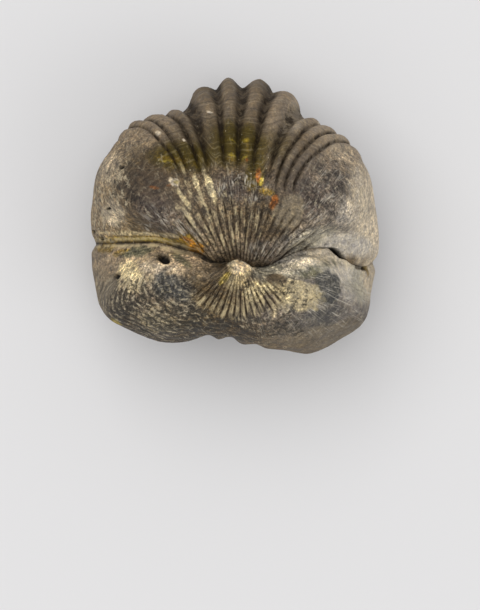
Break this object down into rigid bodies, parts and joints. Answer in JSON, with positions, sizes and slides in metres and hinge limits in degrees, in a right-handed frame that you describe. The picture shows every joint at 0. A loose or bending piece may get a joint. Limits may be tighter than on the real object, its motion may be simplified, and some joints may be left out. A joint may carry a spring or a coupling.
{
  "type": "brachiopod fossil",
  "caption": "Globose ribbed fossil brachiopod with closed valves, a raised fold above a deep sulcus and a serrate commissure, resting on its front edge with the beak up.",
  "frame": {"origin": "on the plane the fossil rests on, under the middle of its outline", "axes": "+X along the hinge line, +Y towards the brachial (upper, folded) valve, +Z from the resting front edge up to the beak"},
  "size_m": [0.0212, 0.02, 0.0188],
  "materials": {
    "brachial_shell": "weathered ribbed calcite shell, grey-brown, with olive and rust stains in the grooves",
    "pedicle_shell": "weathered ribbed calcite shell, pale brown to cream patches on dark blue-grey"
  },
  "bodies": {
    "root": {"brachial_valve": "brachial_shell", "pedicle_valve": "pedicle_shell"}
  },
  "joints": []
}
